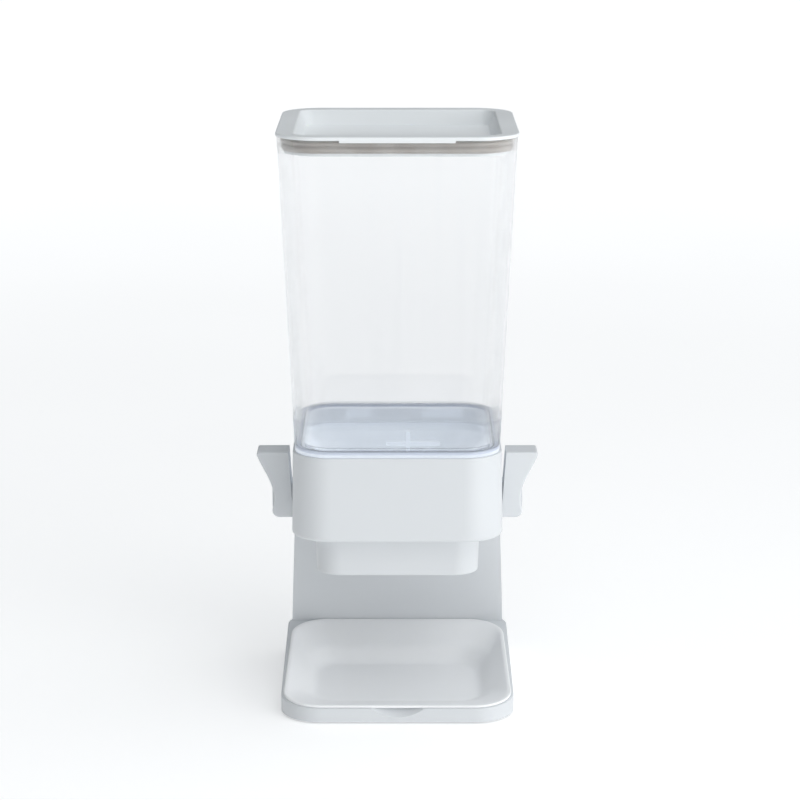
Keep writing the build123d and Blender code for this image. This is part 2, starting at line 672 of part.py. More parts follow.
def make_gate():
    """Left-hand flap: plate, hub on the shaft and a slotted crank that the drive pin turns."""
    plate_from = -shaft_x
    plate_to = -GATE_MEET
    plate = Pos((plate_from + plate_to) / 2, 0, (gate_low + gate_top) / 2) * Box(
        plate_to - plate_from, 2 * gate_half_y, GATE_THICK)
    hook_far = -pivot_x + drive_reach + HOOK_INSIDE + CHEEK_GAP
    notch_from = plate_from - HUB_RADIUS
    notch = Pos((notch_from + hook_far) / 2, 0, gate_top) * Box(
        hook_far - notch_from, 2 * (half_arm + CHEEK_GAP), 4 * GATE_THICK)
    hub = bar_y(-shaft_x, shaft_z, HUB_RADIUS, -gate_half_y, gate_half_y)
    slot_x = shaft_x - drive_x
    slot_z = drive_z - shaft_z
    crank_length = math.hypot(slot_x, slot_z)
    tilt = math.degrees(math.atan2(slot_z, slot_x))
    slot_radius = DRIVE_PIN_RADIUS + SLOT_PLAY
    arm_radius = slot_radius + CRANK_WALL
    plane = Plane(origin=(-shaft_x, 0, shaft_z), x_dir=(1, 0, 0), z_dir=(0, -1, 0)) * Rot(0, 0, tilt)
    bar = plane * Pos(crank_length / 2, 0) * SlotCenterToCenter(crank_length, 2 * arm_radius)
    window = plane * Pos(crank_length - SLOT_DROP, 0) * SlotCenterToCenter(2 * SLOT_PLAY, 2 * slot_radius)
    crank = extrude(bar, CRANK_THICK / 2, both=True) - extrude(window, CRANK_THICK, both=True)
    body = (plate - notch) + hub + crank
    return body - bar_y(-shaft_x, shaft_z, PIN_RADIUS + RUN_FIT, -gate_half_y, gate_half_y)


def make_gate_shaft():
    return bar_y(-shaft_x, shaft_z, PIN_RADIUS, -shaft_half, shaft_half)


# ---- levers ----------------------------------------------------------------------------------
ear_inner_top = -(CASING_HALF_X + EAR_TOP_GAP)
ear_inner_low = -(CASING_HALF_X + EAR_BOTTOM_GAP)


def around_pivot(radius, degrees):
    """Point at a distance from the left pivot, turned down from the level line."""
    turn = math.radians(degrees)
    return (-pivot_x + radius * math.cos(turn), pivot_z - radius * math.sin(turn))


def ear_face(inset, y):
    """Ear's outline in X and Z: flared at the top, narrow at the waist, drawn in by inset."""
    top = ear_top - inset
    low = ear_bottom + inset
    outer_top = (ear_inner_top - EAR_TOP_WIDTH + inset, top)
    waist = (ear_inner_low - EAR_WAIST + inset, ear_bottom + EAR_WAIST_HEIGHT)
    flare = (ear_inner_low - EAR_FLARE + inset, ear_bottom + EAR_FLARE_HEIGHT)
    outer_low = (ear_inner_low - EAR_BOTTOM_WIDTH + inset, low)
    side = Spline(outer_low, waist, flare, outer_top)
    rest = Polyline(outer_top, (ear_inner_top, top), (ear_inner_low, low), outer_low)
    face = make_face([side, *rest.edges()])
    corners = face.vertices().sort_by(Axis.X)
    low_corner = corners.sort_by(Axis.Y)[:2].sort_by(Axis.X)[0]
    face = fillet(low_corner, EAR_CORNER - inset)
    top_corner = face.vertices().sort_by(Axis.X)[0]
    face = fillet(top_corner, EAR_TIP)
    return Plane(origin=(0, y, 0), x_dir=(1, 0, 0), z_dir=(0, -1, 0)) * face


def make_lever():
    """Left-hand lever: hollow ear, web through the casing's window, pivot boss and forked hook."""
    half = EAR_DEPTH / 2
    ear = extrude(ear_face(0, -half), EAR_DEPTH, dir=(0, 1, 0))
    outer_edges = ear.edges().filter_by(lambda edge: edge.center().X < ear_inner_top - EAR_EDGE)
    ear = fillet(outer_edges.filter_by(Axis.Y, reverse=True), EAR_EDGE)
    hollow = extrude(ear_face(EAR_WALL, -half + EAR_WALL), EAR_DEPTH - 2 * EAR_WALL, dir=(0, 1, 0))
    ear -= hollow
    hook_mid = math.degrees(drive_turn)
    inside = drive_reach - HOOK_INSIDE
    outside = drive_reach + HOOK_INSIDE
    web_x = ear_inner_low - EAR_WAIST + EAR_WALL / 2
    neck_x = -CASING_HALF_X - WEB_NECK
    web = [(web_x, pivot_z + WEB_HIGH), (neck_x, pivot_z + WEB_NECK_HIGH),
           (WEB_SHOULDER - pivot_x, pivot_z + BOSS_RADIUS)]
    web += [around_pivot(outside, ARM_BACK_STEP * step) for step in range(-2, 3)]
    web += [around_pivot(outside, hook_mid), around_pivot(inside, hook_mid)]
    web += [around_pivot(inside, ARM_CLEAR_ANGLE * step) for step in range(4, 0, -1)]
    web += [around_pivot(BOSS_RADIUS, ARM_ROOT_ANGLE), (-pivot_x, pivot_z - BOSS_RADIUS),
            (neck_x, pivot_z - WEB_NECK_LOW), (web_x, pivot_z - WEB_LOW)]
    arm = slab_y(web, -half_arm, half_arm)
    arm += bar_y(-pivot_x, pivot_z, BOSS_RADIUS, -half_arm, half_arm)
    arm += bar_y(-drive_x, drive_z, HOOK_INSIDE, -half_arm, half_arm)
    fork_from = -pivot_x + BOSS_RADIUS + FORK_ROOT
    fork_half = CRANK_THICK / 2 + CHEEK_GAP
    arm -= Pos(fork_from + outside / 2, 0, pivot_z) * Box(outside, 2 * fork_half, 2 * CASING_HEIGHT)
    body = ear + arm
    body -= bar_y(-pivot_x, pivot_z, PIN_RADIUS + RUN_FIT, -half_arm, half_arm)
    return body - bar_y(-drive_x, drive_z, DRIVE_PIN_RADIUS, -half_arm, half_arm)


def make_lever_pin():
    return bar_y(-pivot_x, pivot_z, PIN_RADIUS, -LUG_Y - LUG_THICK, LUG_Y + LUG_THICK)


def make_drive_pin():
    return bar_y(-drive_x, drive_z, DRIVE_PIN_RADIUS, -half_arm, half_arm)


def make_spring():
    """Torsion spring round the left pivot pin: a coil with a leg that rests on the casing's floor."""
    start = half_arm + (LUG_Y - half_arm - SPRING_TURNS * SPRING_PITCH) / 2
    centre_line = Helix(SPRING_PITCH, SPRING_PITCH * SPRING_TURNS, SPRING_MEAN)
    section = Plane(origin=centre_line @ 0, z_dir=centre_line % 0) * Circle(SPRING_WIRE)
    coil = sweep(section, path=centre_line, is_frenet=True)
    coil = Pos(-pivot_x, start, pivot_z) * Rot(-90, 0, 0) * coil
    leg = Pos(-pivot_x + SPRING_MEAN, start, pivot_z - SPRING_LEG / 2) * Cylinder(SPRING_WIRE, SPRING_LEG)
    return coil + leg


# ---- write every node ------------------------------------------------------------------------
os.makedirs("parts", exist_ok=True)
print("gate turns", round(gate_ratio, 4), "times the lever; pivot", pivot_x, pivot_z,
      "shaft", round(shaft_x, 3), round(shaft_z, 3), "drive pin", round(drive_x, 3), round(drive_z, 3))

save(make_stand(), "stand")
save(make_rear_cover(), "rear_cover")
save(make_cover_screws(), "rear_cover_screws")
save(make_feet(), "feet")
save(make_tray(), "tray")
save(make_casing(), "casing")
casing_screws = [screw(x, y, floor_top, SCREW_LENGTH) for x, y in stand_screw_places]
save(Compound(children=casing_screws), "casing_screws")
save(make_funnel(), "funnel")
save(make_flow_bar(), "flow_bar")
save(make_hopper(), "hopper")
save(make_lid(), "lid")
save(make_gasket(), "lid_gasket")
save(make_spout(), "spout")
flange_top = floor_top + SPOUT_FLANGE_THICK
spout_screws = [screw(x, y, flange_top, SPOUT_SCREW_LENGTH) for x, y in spout_screw_places]
save(Compound(children=spout_screws), "spout_screws")
paired = {
    "gate": make_gate,
    "gate_shaft": make_gate_shaft,
    "lever": make_lever,
    "lever_pin": make_lever_pin,
    "drive_pin": make_drive_pin,
    "lever_spring": make_spring,
}
for name, maker in paired.items():
    for side, shape in zip(("left", "right"), both(maker())):
        save(shape, f"{name}_{side}")
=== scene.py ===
# %% [markdown]
# # A cereal dispenser, dressed for the camera
# The moving model comes ready made from the CAD side as a frame: every casing, lever and screw is
# already where it belongs. This file gives each piece the surface that the real one has, rebuilds
# the moulded clear and white pieces that need soft, rounded edges, and lights them like a plain
# product picture. Everything is in metres, +Z up, with -Y towards the user.

# %% Load the frame
import math

import bpy
import numpy as np
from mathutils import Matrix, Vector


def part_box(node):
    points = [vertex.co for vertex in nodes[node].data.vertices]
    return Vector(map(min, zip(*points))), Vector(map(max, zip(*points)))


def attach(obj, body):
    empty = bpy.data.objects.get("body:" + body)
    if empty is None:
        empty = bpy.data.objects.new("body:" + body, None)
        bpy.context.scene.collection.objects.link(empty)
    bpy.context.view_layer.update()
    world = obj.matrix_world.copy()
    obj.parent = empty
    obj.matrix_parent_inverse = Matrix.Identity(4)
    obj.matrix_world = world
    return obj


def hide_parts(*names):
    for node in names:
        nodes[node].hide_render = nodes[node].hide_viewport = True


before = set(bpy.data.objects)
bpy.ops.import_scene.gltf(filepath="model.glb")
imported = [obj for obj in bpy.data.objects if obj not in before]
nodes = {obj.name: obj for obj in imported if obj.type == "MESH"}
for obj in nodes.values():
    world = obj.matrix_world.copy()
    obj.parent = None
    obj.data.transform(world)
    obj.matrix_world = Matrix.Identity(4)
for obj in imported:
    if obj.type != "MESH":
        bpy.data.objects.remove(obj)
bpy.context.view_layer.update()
scene = bpy.context.scene
MM = 0.001

# %% [markdown]
# ## The camera
# The dispenser is seen from the front and a little above, through a long lens, so that upright
# edges stay nearly parallel. The lens is given as a focal length on a 36 mm wide sensor. The
# sideways shift only slides the picture, without turning the camera.

# %% Camera
CAMERA_BACK = 1.8054
CAMERA_HEIGHT = 0.6522
CAMERA_PITCH = math.radians(13.4526)
FOCAL_LENGTH = 113.75
SHIFT_RIGHT = 0.0033

lens = bpy.data.cameras.new("camera")
lens.lens = FOCAL_LENGTH
lens.sensor_width = 36.0
lens.shift_x = SHIFT_RIGHT
lens.clip_end = 50.0
camera = bpy.data.objects.new("camera", lens)
camera.location = (0.0, -CAMERA_BACK, CAMERA_HEIGHT)
camera.rotation_euler = (math.pi / 2 - CAMERA_PITCH, 0.0, 0.0)
scene.collection.objects.link(camera)
scene.camera = camera
print("camera", tuple(round(v, 3) for v in camera.location), "lens", FOCAL_LENGTH, "mm")

# %% [markdown]
# ## A shorthand for shader maths
# A material is a graph of nodes. Written node by node it is long and hard to read, so one small
# class wraps an output socket and lets plain Python operators add the Math nodes: `1 - mask * 2`
# builds the same graph that you would draw by hand. Colours and vectors don't go through Math,
# because it keeps one number only; they have Mix and Vector Math nodes of their own.

# %% Shader shorthand
class Value:
    """A socket that Python operators can work on; each operator adds one Math node."""

    def __init__(self, graph, socket):
        self.graph = graph
        self.socket = socket

    def _math(self, operation, *others):
        node = self.graph.add("ShaderNodeMath", {"operation": operation})
        for i, item in enumerate((self, *others)):
            self.graph.feed(node.inputs[i], item)
        return Value(self.graph, node.outputs[0])

    def __add__(self, other):
        return self._math("ADD", other)

    __radd__ = __add__

    def __mul__(self, other):
        return self._math("MULTIPLY", other)

    __rmul__ = __mul__

    def __sub__(self, other):
        return self._math("SUBTRACT", other)

    def __rsub__(self, other):
        return (self * -1.0) + other

    def __pow__(self, other):
        return self._math("POWER", other)

    def at_least(self, low):
        """The value, or low where it would be less."""
        return self._math("MAXIMUM", low)

    def clamped(self):
        """The value held between 0 and 1."""
        return self._math("MINIMUM", 1.0).at_least(0.0)


class Nodes:
    """A node tree that starts empty, with one way to add a node."""

    def __init__(self, tree):
        self.tree = tree
        tree.nodes.clear()

    def link(self, source, target):
        self.tree.links.new(source, target)

    def feed(self, target, item):
        """Connect a Value or a socket, or set a plain number or colour."""
        if isinstance(item, Value):
            self.link(item.socket, target)
        elif isinstance(item, bpy.types.NodeSocket):
            self.link(item, target)
        else:
            target.default_value = item

    def add(self, kind, settings=None, inputs=None):
        """New node of a type: settings first, then its sockets' values or links."""
        node = self.tree.nodes.new(kind)
        for key, value in (settings or {}).items():
            setattr(node, key, value)
        for key, item in (inputs or {}).items():
            self.feed(node.inputs[key], item)
        return node

    def axis(self, vector, letter):
        """One coordinate of a vector."""
        return Value(self, self.add("ShaderNodeSeparateXYZ", None, {0: vector}).outputs[letter])


class Graph(Nodes):
    """One material's node graph, ending in a Principled shader."""

    def __init__(self, name):
        self.material = bpy.data.materials.new(name)
        self.material.use_nodes = True
        super().__init__(self.material.node_tree)
        self.shader = self.add("ShaderNodeBsdfPrincipled")
        self.add("ShaderNodeOutputMaterial", None, {"Surface": self.shader.outputs[0]})
        self.place = self.add("ShaderNodeTexCoord").outputs["Object"]

    def noise(self, scale, detail=3.0, rough=0.5, stretch=(1.0, 1.0, 1.0)):
        """Fractal noise over Object coordinates, in features per metre."""
        turned = self.add("ShaderNodeMapping", None, {"Vector": self.place, "Scale": stretch})
        node = self.add("ShaderNodeTexNoise", None, {
            "Vector": turned.outputs[0], "Scale": scale, "Detail": detail, "Roughness": rough})
        return Value(self, node.outputs["Fac"])

    def ramp(self, value, low, high):
        """Smooth step from 0 at low to 1 at high."""
        node = self.add("ShaderNodeMapRange", {"interpolation_type": "SMOOTHSTEP"}, {
            "Value": value, "From Min": low, "From Max": high})
        return Value(self, node.outputs[0])

    def edge(self):
        """0 where the surface faces the eye, rising to 1 where it is seen edge on."""
        return Value(self, self.add("ShaderNodeLayerWeight", None, {"Blend": 0.5}).outputs["Facing"])

    def blend(self, mask, first, second):
        """Colour that goes from first to second as mask goes from 0 to 1."""
        node = self.add("ShaderNodeMix", {"data_type": "RGBA"}, {
            "Factor": mask, 6: first, 7: second})
        return node.outputs[2]

    def bump(self, height, distance, strength=1.0, under=None):
        """Normal that the height pattern gives, in metres of relief."""
        inputs = {"Height": height, "Distance": distance, "Strength": strength}
        if under is not None:
            inputs["Normal"] = under
        return self.add("ShaderNodeBump", None, inputs).outputs[0]

    def surface(self, **values):
        """Set or link the Principled shader's sockets, with _ for a space in a name."""
        for key, item in values.items():
            self.feed(self.shader.inputs[key.replace("_", " ")], item)
        return self.material


def rgb(red, green, blue):
    """Opaque colour."""
    return (red, green, blue, 1.0)


# %% [markdown]
# ## White moulded plastic
# The casing, stand, lid, spout and levers are ABS, moulded in a lightly spark-textured steel mould.
# A flat white would look like paper. The real surface has three things: a fine grain that breaks
# up the highlight, slow changes of gloss where hands polish it, and a very slight warmth in the
# thick parts, where light goes in and comes out again. So the grain and the flow ripple go to
# the bump, the slow noise goes to the roughness and the colour, and subsurface is one number.

# %% White plastics
def moulded_white(name, light, shade, rough_low, rough_high, grain, stretch=(1.0, 1.0, 1.0)):
    """White moulding: colour drifts between two whites, roughness between two limits."""
    g = Graph(name)
    drift = g.noise(9.0, 2.0, 0.55, stretch)
    handling = g.noise(24.0, 3.0, 0.5, stretch)
    speck = g.ramp(g.noise(900.0, 1.0, 0.3), 0.70, 0.82)
    tone = g.blend(g.ramp(drift, 0.35, 0.65), light, shade)
    tone = g.blend(speck * 0.08, tone, rgb(0.58, 0.58, 0.57))
    rough = g.ramp(handling, 0.25, 0.75) * (rough_high - rough_low) + rough_low
    relief = g.bump(g.noise(2600.0, 2.0, 0.5), grain, 0.6)
    relief = g.bump(g.noise(20.0, 1.0, 0.4, (1.0, 1.0, 0.35)), 0.00006, 0.3, relief)
    return g.surface(Base_Color=tone, Roughness=rough, Normal=relief, IOR=1.53,
                     Subsurface_Weight=0.05, Subsurface_Radius=(0.004, 0.004, 0.0035),
                     Subsurface_Scale=0.6)


white_shell = moulded_white("white_abs", rgb(0.684, 0.708, 0.728), rgb(0.668, 0.692, 0.714),
                            0.36, 0.44, 0.000016)
white_lid = moulded_white("white_lid", rgb(0.815, 0.842, 0.855), rgb(0.800, 0.828, 0.842),
                          0.32, 0.40, 0.000012, (1.3, 0.8, 1.0))
# The tray's white is much brighter than the casing's, though it is the same kind of white moulding:
# painted light that offsets the shade the casing and spout cast on it.
tray_white_painted_light = moulded_white("tray_white_painted_light", rgb(0.955, 0.965, 0.975), rgb(0.935, 0.947, 0.958),
                           0.30, 0.38, 0.000012, (1.3, 0.8, 1.0))
print("white finishes:", white_shell.name, white_lid.name, tray_white_painted_light.name)

# %% [markdown]
# ## Clear plastic
# The hopper and the funnel are clear AS resin. A shader that only bends light would keep every
# lamp out of the hopper, because a renderer doesn't trace lamps through bent glass, and the
# funnel would turn black. So most of a wall that faces the eye is simply let through by Alpha,
# and towards the edges it becomes solid, bending resin, which draws the outline; its colour turns
# paler there, a painted sheen. The funnel's thick rim shows as a dark grey-blue line, which is
# painted shade: a dark band in the colour at the rim's height. The funnel also gets a faint glow
# and a lighter tint, painted light that brightens it inside the casing.
# The resin's small faults make it real: a wavy wall and faint upright streaks of flow.

# %% Clear plastics
def clear_resin(name, tint, facing, grazing, power, bend, wave, rough, painted_glow):
    """Clear moulding: how solid it looks rises with edge ** power, from facing to grazing.

    Tint is the resin's colour face on; towards the edges it turns paler, a painted sheen.
    Painted_glow is the strength of an even glow, painted light that the wall sends out.
    """
    g = Graph(name)
    cloud = g.noise(14.0, 2.0, 0.5, (1.0, 1.0, 0.5))
    streak = g.ramp(g.noise(85.0, 2.0, 0.5, (1.0, 1.0, 0.03)), 0.50, 0.78)
    solid = (g.edge() ** power) * (grazing - facing) + facing + streak * 0.035 + cloud * 0.02
    # Painted shade: a dark grey-blue band in the colour, also more solid, just under the funnel rim's
    # top height, standing in for the dark line that the thick rim bends into view.
    height = g.axis(g.place, "Z")
    over = g.ramp(height, RIM_HIGH, RIM_HIGH + RIM_FADE)
    painted_rim_shade = g.ramp(height, RIM_LOW, RIM_LOW + RIM_FADE) * (1 - over)
    # Painted sheen: the colour turns paler where the wall is seen edge on.
    tone = g.blend(g.edge(), tint, rgb(0.90, 0.93, 0.96))
    tone = g.blend(painted_rim_shade, tone, rgb(0.34, 0.38, 0.47))
    relief = g.bump(g.noise(18.0, 1.0, 0.3, (1.0, 1.0, 0.25)), wave, 0.5)
    return g.surface(Base_Color=tone, Roughness=g.ramp(cloud, 0.3, 0.7) * 0.03 + rough,
                     Normal=relief, IOR=1.49, Transmission_Weight=bend,
                     # Painted light: the emission is an even glow that brightens the wall where lamps
                     # barely reach it.
                     Emission_Color=rgb(0.88, 0.93, 1.0), Emission_Strength=painted_glow,
                     Alpha=(solid + painted_rim_shade * 0.45).clamped())


funnel_low, funnel_high = (np.array(corner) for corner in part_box("funnel"))
RIM_HIGH = float(funnel_high[2])
RIM_LOW = RIM_HIGH - 2.2 * MM
RIM_FADE = 0.8 * MM
clear_hopper = clear_resin("clear_hopper", rgb(0.62, 0.64, 0.67), 0.095, 0.82, 2.6, 0.80, 0.00005,
                           0.02, 0.0)
# The funnel's tint is lighter than the hopper's and it glows: painted light that brightens it inside
# the casing.
clear_funnel = clear_resin("clear_funnel", rgb(0.80, 0.85, 0.91), 0.46, 0.90, 1.6, 0.20, 0.00006,
                           0.10, 0.24)
print("clear finishes:", clear_hopper.name, clear_funnel.name)

# %% [markdown]
# ## Seal, steel and rubber
# The seal is unpigmented silicone, milky and a little beige. The shafts, pins, springs and
# screws are drawn steel wire and rod, so their grain runs along the length. The feet are soft
# grey rubber with a dusty, uneven sheen.

# %% Small finishes
def silicone():
    """Milky silicone with a slow cloud in its colour."""
    g = Graph("silicone")
    tone = g.blend(g.ramp(g.noise(60.0, 3.0, 0.6), 0.3, 0.7), rgb(0.43, 0.40, 0.375),
                   rgb(0.51, 0.485, 0.46))
    rough = g.ramp(g.noise(300.0, 3.0), 0.3, 0.7) * 0.12 + 0.34
    return g.surface(Base_Color=tone, Roughness=rough, IOR=1.41,
                     Normal=g.bump(g.noise(1500.0), 0.00002, 0.5),
                     Subsurface_Weight=0.4, Subsurface_Radius=(0.005, 0.0045, 0.004),
                     Subsurface_Scale=1.0)


def drawn_steel():
    """Bright steel with a fine grain along Y, the way the rods were drawn."""
    g = Graph("drawn_steel")
    grain = g.noise(1800.0, 2.0, 0.6, (1.0, 0.04, 1.0))
    tone = g.blend(g.ramp(g.noise(120.0), 0.3, 0.7), rgb(0.52, 0.53, 0.55), rgb(0.66, 0.67, 0.68))
    return g.surface(Base_Color=tone, Metallic=1.0, Roughness=g.ramp(grain, 0.2, 0.8) * 0.2 + 0.22,
                     Normal=g.bump(grain, 0.00001, 0.5))


def soft_rubber():
    """Grey rubber with patches of dust."""
    g = Graph("soft_rubber")
    dust = g.ramp(g.noise(240.0, 4.0, 0.7), 0.45, 0.75)
    tone = g.blend(dust * 0.5, rgb(0.50, 0.50, 0.50), rgb(0.66, 0.65, 0.63))
    return g.surface(Base_Color=tone, Roughness=dust * 0.15 + 0.62,
                     Normal=g.bump(g.noise(2000.0), 0.00003, 0.6))


seal_finish = silicone()
steel_finish = drawn_steel()
rubber_finish = soft_rubber()

# %% [markdown]
# ## Give the CAD pieces their finishes
# These nodes already have the right shape, with rounded edges from the CAD side. Only their
# material slots change.

# %% Dress the CAD nodes
finish_of = {
    white_shell: ["stand", "rear_cover", "casing", "spout", "lever_left", "lever_right",
                  "gate_left", "gate_right"],
    white_lid: ["lid"],
    tray_white_painted_light: ["tray"],
    clear_hopper: ["hopper"],
    clear_funnel: ["funnel", "flow_bar"],
    seal_finish: ["lid_gasket"],
    steel_finish: ["rear_cover_screws", "casing_screws", "spout_screws", "gate_shaft_left",
                   "gate_shaft_right", "lever_pin_left", "lever_pin_right", "drive_pin_left",
                   "drive_pin_right", "lever_spring_left", "lever_spring_right"],
    rubber_finish: ["feet"],
}
for finish, names in finish_of.items():
    for name in names:
        piece = nodes[name]
        piece.data.materials.clear()
        piece.data.materials.append(finish)
print("dressed", sum(len(v) for v in finish_of.values()), "CAD nodes")

# %% [markdown]
# ## A profile carried round a rounded square
# Every soft moulding here is the same kind of shape: a rounded square that changes its width and
# corner radius on the way up, as on a lunch box. It could be modelled by hand and subdivided,
# but one formula gives all of them. A point on a rounded square is `sign * (half - radius) +
# direction * radius`. On the four arcs the sign stands still and the direction turns, and on the
# four sides the direction stands still and the sign crosses over. A profile is then a short
# table of rows, one for each corner of the wall's cross-section.

# %% Path, profile and mesh
def square_path(arc=12, side=14):
    """Signs and directions once round a rounded square, as rows of (sign x, sign y, turn x, turn y)."""
    turn = np.linspace(0, np.pi / 2, arc + 1)[:, None]
    cross = np.linspace(0, 1, side + 1)[1:-1, None]
    parts = []
    for quarter in range(4):
        start = quarter * np.pi / 2
        here, there = (np.sign([math.cos(start + k * np.pi / 4), math.sin(start + k * np.pi / 4)])
                       for k in (1, 3))
        spin = start + turn
        parts.append(np.hstack([here + 0 * turn, np.cos(spin), np.sin(spin)]))
        end = [math.cos(start + np.pi / 2), math.sin(start + np.pi / 2)]
        parts.append(np.hstack([here + (there - here) * cross, end + 0 * cross]))
    return np.vstack(parts)


PATH = square_path()


def row(half_x, half_y, radius, z, soft=0.5, x=0.0, y=0.0, tilt=0.0, narrow=0.0):
    """One corner of a wall's cross-section, in millimetres, with how far it is rounded off."""
    return [half_x, half_y, radius, z, x, y, tilt, narrow, soft]


def softened(rows, looped, bend=6, run=5, guard=0.6):
    """Profile with rounded corners, in metres.

    A corner C is cut back by its softness along both sides, to P and Q, and the gap is bridged by
    (1-t)^2 P + 2t(1-t) C + t^2 Q. Straight runs get even rows, with one near each end, so that
    smooth shading stays flat between the bends.
    """
    rows = np.array(rows)
    ends = 0 if looped else 1
    lengths = np.hypot(np.abs(np.roll(rows, -1, 0) - rows)[:, :2].max(axis=1),
                       (np.roll(rows, -1, 0) - rows)[:, 3])
    t = np.linspace(0, 1, bend)[:, None]
    bends = []
    for i, corner in enumerate(rows):
        before, after = rows[i - 1], rows[(i + 1) % len(rows)]
        fixed = ends and i in (0, len(rows) - 1)
        back = 0 if fixed else min(corner[8] / lengths[i - 1], 0.45)
        on = 0 if fixed else min(corner[8] / lengths[i], 0.45)
        first = corner + (before - corner) * back
        last = corner + (after - corner) * on
        curve = (1 - t) ** 2 * first + 2 * t * (1 - t) * corner + t ** 2 * last
        bends.append(corner[None] if fixed else curve)
    pieces = []
    for i in range(len(rows) - ends):
        start, stop = bends[i][-1], bends[(i + 1) % len(rows)][0]
        near = min(guard / lengths[i], 0.2)
        share = np.linspace(near, 1 - near, run)[:, None]
        pieces += [bends[i], start + (stop - start) * share]
    pieces += [bends[-1]] * ends
    profile = np.vstack(pieces)
    profile[:, :6] *= MM
    return profile


def carried(profile):
    """Points of a profile carried round the rounded square.

    x = (sign * (half - radius) + turn * radius) * (1 - narrow * y) + the row's own x, y is the
    same without the narrowing, and z = the row's height + tilt * y.
    """
    half_x, half_y, radius, z, x_mid, y_mid, tilt, narrow, _ = (profile[:, k, None] for k in range(9))
    sign_x, sign_y, turn_x, turn_y = PATH.T
    y = sign_y * (half_y - radius) + turn_y * radius + y_mid
    x = (sign_x * (half_x - radius) + turn_x * radius) * (1 - narrow * (y - y_mid)) + x_mid
    return np.stack([x, y, z + tilt * y], axis=2)


def grid_faces(rows, looped, first):
    """Quads between neighbouring rows, facing out where rows run over the top and down outside."""
    columns = len(PATH)
    index = np.arange(rows * columns).reshape(rows, columns) + first
    beside = np.roll(index, -1, axis=1)
    stop = rows if looped else rows - 1
    below, below_beside = np.roll(index, -1, axis=0), np.roll(beside, -1, axis=0)
    quads = np.stack([index, below, below_beside, beside], axis=2)[:stop].reshape(-1, 4).tolist()
    return quads if looped else quads + [index[0].tolist(), index[-1][::-1].tolist()]


def moulding(name, surfaces, finish, body, stands_for):
    """One object from several closed surfaces, each given as (points, looped)."""
    points, faces, count = [], [], 0
    for grid, looped in surfaces:
        faces += grid_faces(len(grid), looped, count)
        points.append(grid.reshape(-1, 3))
        count += grid.shape[0] * grid.shape[1]
    mesh = bpy.data.meshes.new(name)
    mesh.from_pydata(np.vstack(points).tolist(), [], faces)
    mesh.polygons.foreach_set("use_smooth", np.ones(len(faces), dtype=bool))
    mesh.materials.append(finish)
    mesh.update()
    piece = bpy.data.objects.new(name, mesh)
    scene.collection.objects.link(piece)
    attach(piece, body)
    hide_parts(stands_for)
    print(name, len(faces), "faces, size", (np.ptp(np.vstack(points), axis=0) / MM).round(1), "mm")


def block(half_x, half_y, radius, low, high, soft, x=0.0, y=0.0):
    """Small closed block with rounded edges, from its top middle over the sides to its underside."""
    tiny = min(half_x, half_y) / 3
    flat = {"x": x, "y": y}
    rows = [row(tiny, tiny, tiny, high, **flat), row(half_x, half_y, radius, high, soft, **flat),
            row(half_x, half_y, radius, low, soft, **flat), row(tiny, tiny, tiny, low, **flat)]
    return carried(softened(rows, False, bend=4, run=2)), False


print("path of", len(PATH), "points")

# %% [markdown]
# ## The hopper
# A tall, clear, slightly tapered wall, about 2 mm thick, with a spigot below its shoulder that
# drops into the funnel. Its section is one closed loop: down the outside, under the shoulder,
# round the spigot and up the inside. The corners of that loop are rounded by a millimetre or so,
# and those small radii are what catch the light at the foot and at the mouth.

# %% Hopper
hopper_low, hopper_high = (np.array(corner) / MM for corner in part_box("hopper"))
HOPPER_FOOT = (74.0, 75.5)
HOPPER_WALL = 2.2
HOPPER_RADIUS = 29.0
SPIGOT_WALL = 2.0
funnel_top = float(funnel_high[2]) / MM
casing_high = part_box("casing")[1]
CASING_FLARE = 1.0
SPIGOT_INSET = 6.5
SPIGOT_RADIUS = 21.5
SHOULDER_THICK = 2.0
casing_half = (casing_high[0] / MM - CASING_FLARE, casing_high[1] / MM - CASING_FLARE)
spigot_half = tuple(half - SPIGOT_INSET for half in casing_half)


def make_hopper():
    mouth = hopper_high[0]
    top = hopper_high[2]
    foot_x, foot_y = HOPPER_FOOT
    in_x, in_y = spigot_half
    bore_x, bore_y, bore_radius = in_x - SPIGOT_WALL, in_y - SPIGOT_WALL, SPIGOT_RADIUS - SPIGOT_WALL
    inner = HOPPER_RADIUS - HOPPER_WALL
    ledge = funnel_top + SHOULDER_THICK
    rows = [row(mouth, mouth, HOPPER_RADIUS, top, 0.6),
            row(foot_x, foot_y, HOPPER_RADIUS, funnel_top, 1.6),
            row(in_x, in_y, SPIGOT_RADIUS, funnel_top, 0.4),
            row(in_x, in_y, SPIGOT_RADIUS, hopper_low[2], 0.6),
            row(bore_x, bore_y, bore_radius, hopper_low[2], 0.6),
            row(bore_x, bore_y, bore_radius, ledge, 0.8),
            row(foot_x - HOPPER_WALL, foot_y - HOPPER_WALL, inner, ledge, 2.0),
            row(mouth - HOPPER_WALL, mouth - HOPPER_WALL, inner, top, 0.6)]
    moulding("hopper_shell", [(carried(softened(rows, True, run=9)), True)], clear_hopper,
             "hopper", "hopper")


make_hopper()

# %% [markdown]
# ## The funnel
# A clear bowl that hangs in the casing by its rim and narrows to a square throat over the gates.
# The real one has shallow flutes that fan out over the four corners of the slope, two thin
# upright ribs behind, and two tabs that clip it to the casing. The flutes are a cosine of the
# angle round the corner, pushed outwards along the turn and faded out at the slope's two ends.

